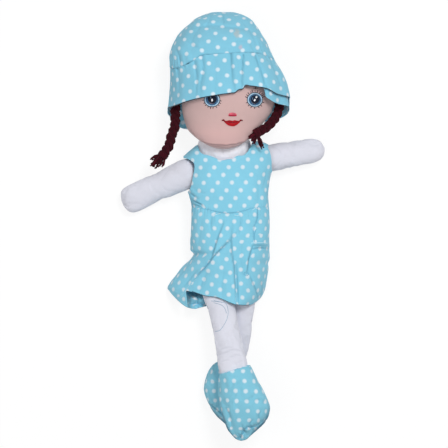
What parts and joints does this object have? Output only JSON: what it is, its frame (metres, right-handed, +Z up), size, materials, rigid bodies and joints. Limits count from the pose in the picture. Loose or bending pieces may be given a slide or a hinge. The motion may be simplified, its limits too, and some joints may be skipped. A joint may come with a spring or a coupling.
{
  "type": "rag doll",
  "caption": "Soft cotton doll lying on its back: embroidered face, yarn braids, floppy sun hat, polka-dot dress and boots, stuffed limbs that flop at sewn joints.",
  "frame": {"origin": "on the surface the doll lies on, under the middle of its outline", "axes": "+Y towards the head, +Z up out of the face, +X towards the doll's left hand"},
  "size_m": [0.2375, 0.4996, 0.0969],
  "materials": {
    "dotted_cotton": "matte woven cotton, white polka dots",
    "white_cotton": "matte woven cotton",
    "skin_cotton": "matte woven cotton",
    "fibrefill": "loose fibre",
    "maroon_yarn": "soft twisted yarn",
    "eye_thread": "satin stitch",
    "nose_thread": "satin stitch",
    "mouth_thread": "satin stitch"
  },
  "bodies": {
    "torso": {"torso_front_panel": "white_cotton", "torso_back_panel": "white_cotton", "torso_stuffing": "fibrefill", "bodice_front": "dotted_cotton", "bodice_back": "dotted_cotton", "skirt_front": "dotted_cotton", "skirt_back": "dotted_cotton"},
    "neck": {"neck_skin": "white_cotton", "neck_stuffing": "fibrefill"},
    "head": {"face_panel": "skin_cotton", "head_back_panel": "skin_cotton", "head_stuffing": "fibrefill", "right_eye": "eye_thread", "left_eye": "eye_thread", "nose": "nose_thread", "mouth": "mouth_thread", "right_braid": "maroon_yarn", "left_braid": "maroon_yarn", "right_braid_tie": "maroon_yarn", "left_braid_tie": "maroon_yarn", "right_braid_tassel": "maroon_yarn", "left_braid_tassel": "maroon_yarn"},
    "hat": {"hat_crown": "dotted_cotton", "hat_brim": "dotted_cotton", "hat_brim_facing": "dotted_cotton"},
    "right_shoulder": {"right_shoulder_seam": "white_cotton"},
    "right_arm": {"right_arm_skin": "white_cotton", "right_arm_stuffing": "fibrefill"},
    "left_shoulder": {"left_shoulder_seam": "white_cotton"},
    "left_arm": {"left_arm_skin": "white_cotton", "left_arm_stuffing": "fibrefill"},
    "hips": {"hip_seam_strip": "white_cotton"},
    "right_leg": {"right_leg_skin": "white_cotton", "right_leg_stuffing": "fibrefill", "right_boot_upper": "dotted_cotton", "right_boot_sole": "dotted_cotton", "right_boot_stuffing": "fibrefill"},
    "left_leg": {"left_leg_skin": "white_cotton", "left_leg_stuffing": "fibrefill", "left_boot_upper": "dotted_cotton", "left_boot_sole": "dotted_cotton", "left_boot_stuffing": "fibrefill"}
  },
  "joints": [
    {"name": "neck_nod", "type": "hinge", "parent": "torso", "child": "neck", "pos_m": [0.0025, 0.092, 0.03], "axis": [1, 0, 0], "range_deg": [-10, 30], "deforming": ["right_braid", "right_braid_tie", "right_braid_tassel", "left_braid", "left_braid_tie", "left_braid_tassel"]},
    {"name": "head_turn", "type": "hinge", "parent": "neck", "child": "head", "pos_m": [0.0025, 0.101, 0.03], "axis": [0, 1, 0], "range_deg": [-30, 30], "deforming": ["right_braid", "right_braid_tie", "right_braid_tassel", "left_braid", "left_braid_tie", "left_braid_tassel"]},
    {"name": "hat_off", "type": "slide", "parent": "head", "child": "hat", "axis": [0, 1, 0], "range_m": [0, 0.13]},
    {"name": "right_arm_swing", "type": "hinge", "parent": "torso", "child": "right_shoulder", "pos_m": [-0.04295, 0.059, 0.028], "axis": [0, 0, 1], "range_deg": [-40, 40], "deforming": ["bodice_front", "bodice_back"]},
    {"name": "right_arm_lift", "type": "hinge", "parent": "right_shoulder", "child": "right_arm", "pos_m": [-0.04295, 0.059, 0.028], "axis": [-0.4099, 0.9121, 0], "range_deg": [-30, 75], "deforming": ["bodice_front", "bodice_back"]},
    {"name": "left_arm_swing", "type": "hinge", "parent": "torso", "child": "left_shoulder", "pos_m": [0.04183, 0.077, 0.028], "axis": [0, 0, -1], "range_deg": [-30, 40], "deforming": ["bodice_front", "bodice_back"]},
    {"name": "left_arm_lift", "type": "hinge", "parent": "left_shoulder", "child": "left_arm", "pos_m": [0.04183, 0.077, 0.028], "axis": [0.1736, -0.9848, 0], "range_deg": [-30, 75], "deforming": ["bodice_front", "bodice_back"]},
    {"name": "sit_fold", "type": "hinge", "parent": "torso", "child": "hips", "pos_m": [0.00875, -0.039, 0.025], "axis": [-1, 0, 0], "range_deg": [0, 90], "deforming": ["skirt_front"]},
    {"name": "right_leg_swing", "type": "hinge", "parent": "hips", "child": "right_leg", "pos_m": [-0.013, -0.044, 0.025], "axis": [0, 0, -1], "range_deg": [0, 28], "deforming": ["skirt_front"]},
    {"name": "left_leg_swing", "type": "hinge", "parent": "hips", "child": "left_leg", "pos_m": [0.031, -0.034, 0.025], "axis": [0, 0, 1], "range_deg": [0, 14], "deforming": ["skirt_front"]}
  ]
}
